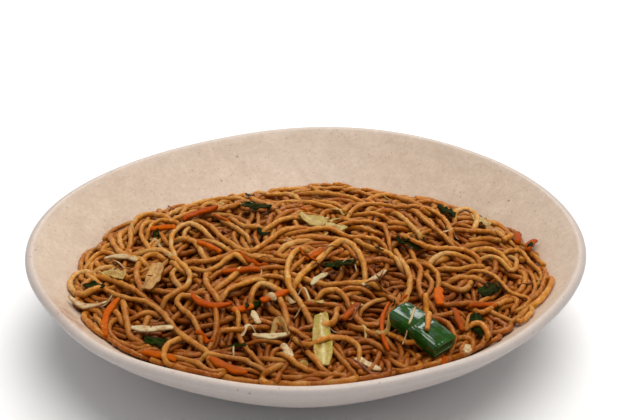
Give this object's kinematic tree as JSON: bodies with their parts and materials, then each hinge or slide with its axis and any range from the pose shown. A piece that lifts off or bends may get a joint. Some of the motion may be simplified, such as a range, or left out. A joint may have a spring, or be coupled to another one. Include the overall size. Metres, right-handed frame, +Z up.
{
  "type": "bowl of yakisoba fried noodles",
  "caption": "Wide unevenly round cream stoneware bowl heaped with brown fried noodles, carrot strips, cabbage, spring onion and dark green leaves.",
  "frame": {"origin": "on the table, at the middle of the box round the whole dish, which is close to the middle of the bowl's foot", "axes": "+Z up; +X to the right along the bowl's longest side; +Y to the back; the viewer of the picture looks along +Y"},
  "size_m": [0.2672, 0.24, 0.0583],
  "materials": {
    "stoneware": "cream satin glaze with fine brown specks",
    "noodle": "golden brown wheat noodle, moist with dark sauce",
    "carrot": "fried carrot strip, deep orange, moist",
    "cabbage": "soft cabbage leaf, pale yellow green, moist",
    "cabbage_rib": "cabbage rib or onion, off-white, moist",
    "green_leaf": "dark green leaf, moist",
    "spring_onion": "dark green spring onion tube with a waxy gloss"
  },
  "bodies": {
    "root": {"bowl": "stoneware", "noodles": "noodle", "spring_onion": "spring_onion", "carrot_01": "carrot", "carrot_02": "carrot", "carrot_03": "carrot", "carrot_04": "carrot", "carrot_05": "carrot", "carrot_06": "carrot", "carrot_07": "carrot", "carrot_08": "carrot", "carrot_09": "carrot", "carrot_10": "carrot", "carrot_11": "carrot", "carrot_12": "carrot", "carrot_13": "carrot", "carrot_14": "carrot", "carrot_15": "carrot", "carrot_16": "carrot", "carrot_17": "carrot", "carrot_18": "carrot", "cabbage_leaf_01": "cabbage", "cabbage_leaf_02": "cabbage", "cabbage_leaf_03": "cabbage", "cabbage_leaf_04": "cabbage", "cabbage_leaf_05": "cabbage", "cabbage_rib_01": "cabbage_rib", "cabbage_rib_02": "cabbage_rib", "cabbage_rib_03": "cabbage_rib", "cabbage_rib_04": "cabbage_rib", "cabbage_rib_05": "cabbage_rib", "cabbage_rib_06": "cabbage_rib", "cabbage_rib_07": "cabbage_rib", "cabbage_rib_08": "cabbage_rib", "cabbage_rib_09": "cabbage_rib", "cabbage_rib_10": "cabbage_rib", "green_leaf_01": "green_leaf", "green_leaf_02": "green_leaf", "green_leaf_03": "green_leaf", "green_leaf_04": "green_leaf", "green_leaf_05": "green_leaf", "green_leaf_06": "green_leaf", "green_leaf_07": "green_leaf", "green_leaf_08": "green_leaf"}
  },
  "joints": []
}
